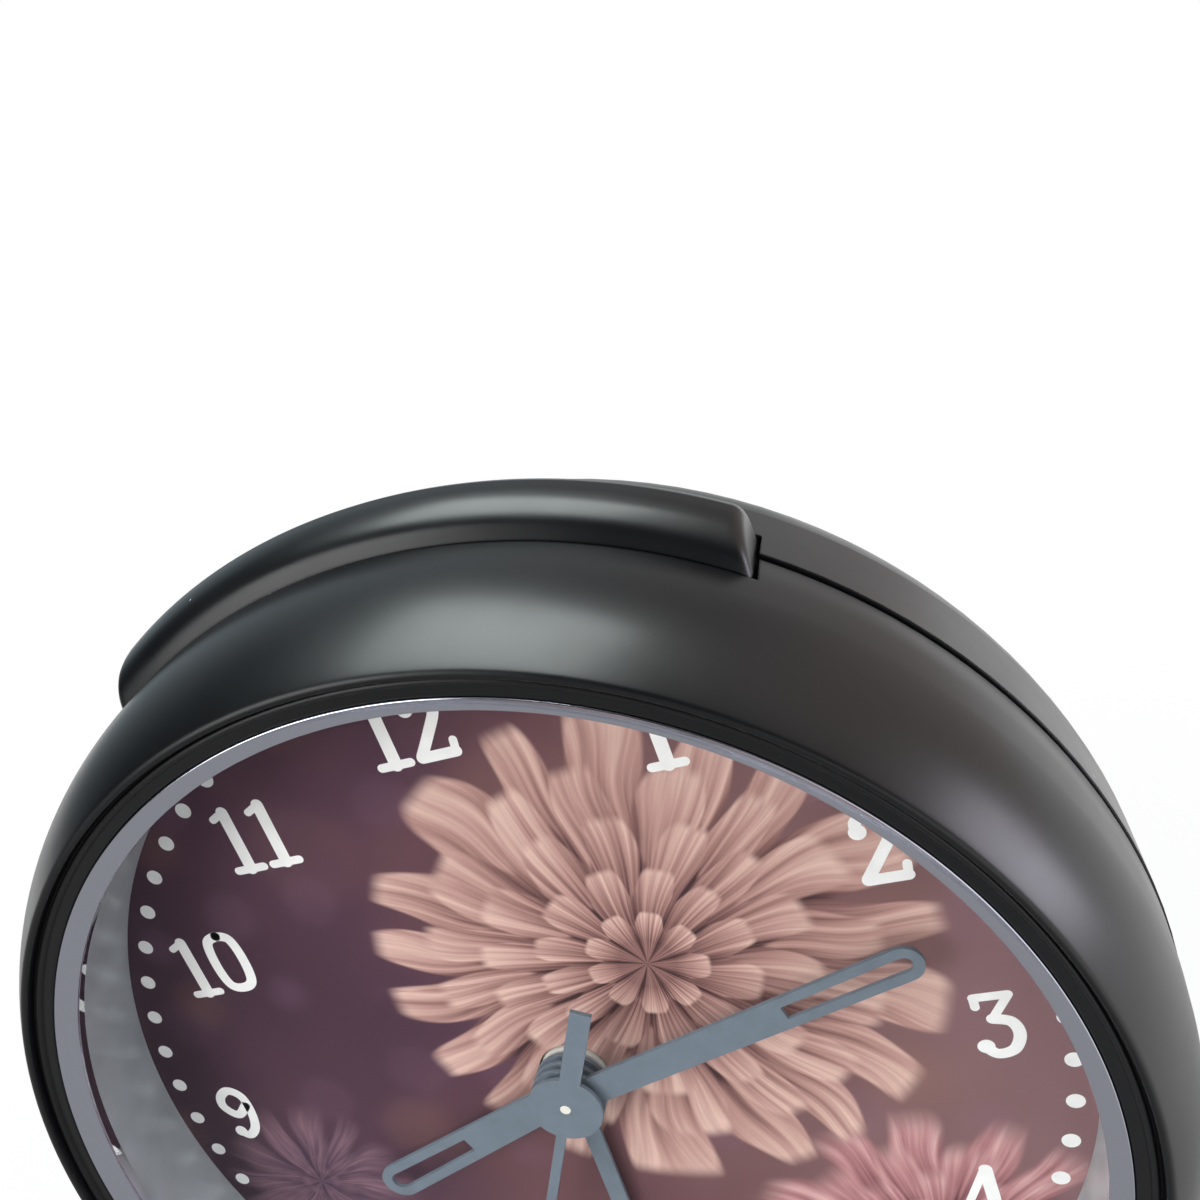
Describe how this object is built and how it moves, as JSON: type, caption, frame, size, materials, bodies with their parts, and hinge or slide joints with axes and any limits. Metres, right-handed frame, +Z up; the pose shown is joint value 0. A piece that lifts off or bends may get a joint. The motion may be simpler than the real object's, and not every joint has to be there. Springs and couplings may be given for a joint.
{
  "type": "alarm clock",
  "caption": "Round bedside alarm clock with a picture dial, a mirror ring, slotted hands, a long snooze bar on top and setting knobs at the back.",
  "frame": {"origin": "middle of the clock's length and depth, at the plane its feet stand on", "axes": "+Z up, +X to the right as one faces the dial, +Y from the dial to the back; the dial axis runs along Y"},
  "size_m": [0.1104, 0.0456, 0.1156],
  "materials": {
    "black_abs": "satin moulded",
    "plated_abs": "bright chrome plated",
    "clear_acrylic": "polished clear",
    "printed_card": "satin print",
    "white_styrene": "moulded",
    "acetal": "moulded",
    "painted_aluminium": "matt paint",
    "zinc_steel": "zinc plated",
    "nickel_steel": "nickel plated",
    "silicon_iron": "stamped",
    "ferrite": "sintered",
    "copper_wire": "enamelled winding",
    "epoxy_board": "solder mask",
    "black_epoxy": "moulded",
    "crystal_can": "drawn can",
    "cell_jacket": "plain film jacket",
    "grey_rubber": "matt"
  },
  "bodies": {
    "case": {"front_shell": "black_abs", "rear_shell": "black_abs", "mirror_ring": "plated_abs", "lens": "clear_acrylic", "dial_card": "printed_card", "dial_plate": "white_styrene", "movement_tray": "white_styrene", "movement_cover": "white_styrene", "case_screws": "zinc_steel", "movement_screws": "zinc_steel", "snooze_springs": "zinc_steel", "battery_plus_contact": "nickel_steel", "battery_minus_contact": "nickel_steel", "stator": "silicon_iron", "coil": "copper_wire", "circuit_board": "epoxy_board", "switch_board": "epoxy_board", "clock_chip": "black_epoxy", "snooze_switch": "black_epoxy", "alarm_switch": "black_epoxy", "sounder": "black_epoxy", "quartz_crystal": "crystal_can", "battery": "cell_jacket", "foot_pad_front_left": "grey_rubber", "foot_pad_front_right": "grey_rubber", "foot_pad_rear_left": "grey_rubber", "foot_pad_rear_right": "grey_rubber"},
    "snooze_bar": {"snooze_bar": "black_abs"},
    "time_knob": {"time_knob": "black_abs", "time_shaft": "acetal"},
    "minute_train": {"minute_pinion": "acetal", "minute_hand": "painted_aluminium"},
    "motion_wheel": {"motion_wheel": "acetal"},
    "hour_train": {"hour_wheel": "acetal", "hour_hand": "painted_aluminium"},
    "alarm_knob": {"alarm_knob": "black_abs", "alarm_shaft": "acetal"},
    "alarm_train": {"alarm_wheel": "acetal", "alarm_hand": "painted_aluminium"},
    "seconds_train": {"seconds_wheel": "acetal", "seconds_hand": "painted_aluminium"},
    "third_wheel": {"third_wheel": "acetal"},
    "centre_wheel": {"centre_wheel": "acetal"},
    "fifth_wheel": {"fifth_wheel": "acetal"},
    "rotor": {"rotor": "ferrite"},
    "alarm_slider": {"alarm_slider": "black_epoxy"},
    "battery_door": {"battery_door": "black_abs"}
  },
  "joints": [
    {"name": "snooze_press", "type": "slide", "parent": "case", "child": "snooze_bar", "axis": [0, 0, -1], "range_m": [0, 0.0015], "stiffness_N_per_m": 900, "springref_m": -0.001, "deforming": ["snooze_springs"]},
    {"name": "time_knob_turn", "type": "hinge", "parent": "case", "child": "time_knob", "pos_m": [-0.0144, -0.00515, 0.0572], "axis": [0, 1, 0], "continuous": true},
    {"name": "minute_turn", "type": "hinge", "parent": "case", "child": "minute_train", "pos_m": [0, -0.00515, 0.0572], "axis": [0, 1, 0], "continuous": true},
    {"name": "motion_turn", "type": "hinge", "parent": "case", "child": "motion_wheel", "pos_m": [-0.0072, -0.00515, 0.0572], "axis": [0, 1, 0], "continuous": true},
    {"name": "hour_turn", "type": "hinge", "parent": "case", "child": "hour_train", "pos_m": [0, -0.00515, 0.0572], "axis": [0, 1, 0], "continuous": true},
    {"name": "alarm_knob_turn", "type": "hinge", "parent": "case", "child": "alarm_knob", "pos_m": [0.0144, -0.00515, 0.0572], "axis": [0, 1, 0], "continuous": true},
    {"name": "alarm_turn", "type": "hinge", "parent": "case", "child": "alarm_train", "pos_m": [0, -0.00515, 0.0572], "axis": [0, 1, 0], "continuous": true},
    {"name": "seconds_turn", "type": "hinge", "parent": "case", "child": "seconds_train", "pos_m": [0, -0.00515, 0.0572], "axis": [0, 1, 0], "continuous": true},
    {"name": "third_turn", "type": "hinge", "parent": "case", "child": "third_wheel", "pos_m": [0, -0.00515, 0.04595], "axis": [0, 1, 0], "continuous": true},
    {"name": "centre_turn", "type": "hinge", "parent": "case", "child": "centre_wheel", "pos_m": [0, -0.00515, 0.0572], "axis": [0, 1, 0], "continuous": true},
    {"name": "fifth_turn", "type": "hinge", "parent": "case", "child": "fifth_wheel", "pos_m": [0, -0.00515, 0.06845], "axis": [0, 1, 0], "continuous": true},
    {"name": "rotor_turn", "type": "hinge", "parent": "case", "child": "rotor", "pos_m": [0.00713, -0.00515, 0.06845], "axis": [0, 1, 0], "continuous": true},
    {"name": "alarm_slide", "type": "slide", "parent": "case", "child": "alarm_slider", "axis": [1, 0, 0], "range_m": [0, 0.003]},
    {"name": "door_pull", "type": "slide", "parent": "case", "child": "battery_door", "axis": [0, 1, 0], "range_m": [0, 0.008]}
  ],
  "couplings": [
    {"joint": "minute_turn", "follows": "time_knob_turn", "ratio": 1},
    {"joint": "motion_turn", "follows": "time_knob_turn", "ratio": -0.33333},
    {"joint": "hour_turn", "follows": "time_knob_turn", "ratio": 0.083333},
    {"joint": "alarm_turn", "follows": "alarm_knob_turn", "ratio": -1.6667},
    {"joint": "third_turn", "follows": "seconds_turn", "ratio": -0.125},
    {"joint": "centre_turn", "follows": "seconds_turn", "ratio": 0.016667},
    {"joint": "fifth_turn", "follows": "seconds_turn", "ratio": -8},
    {"joint": "rotor_turn", "follows": "seconds_turn", "ratio": 30}
  ]
}
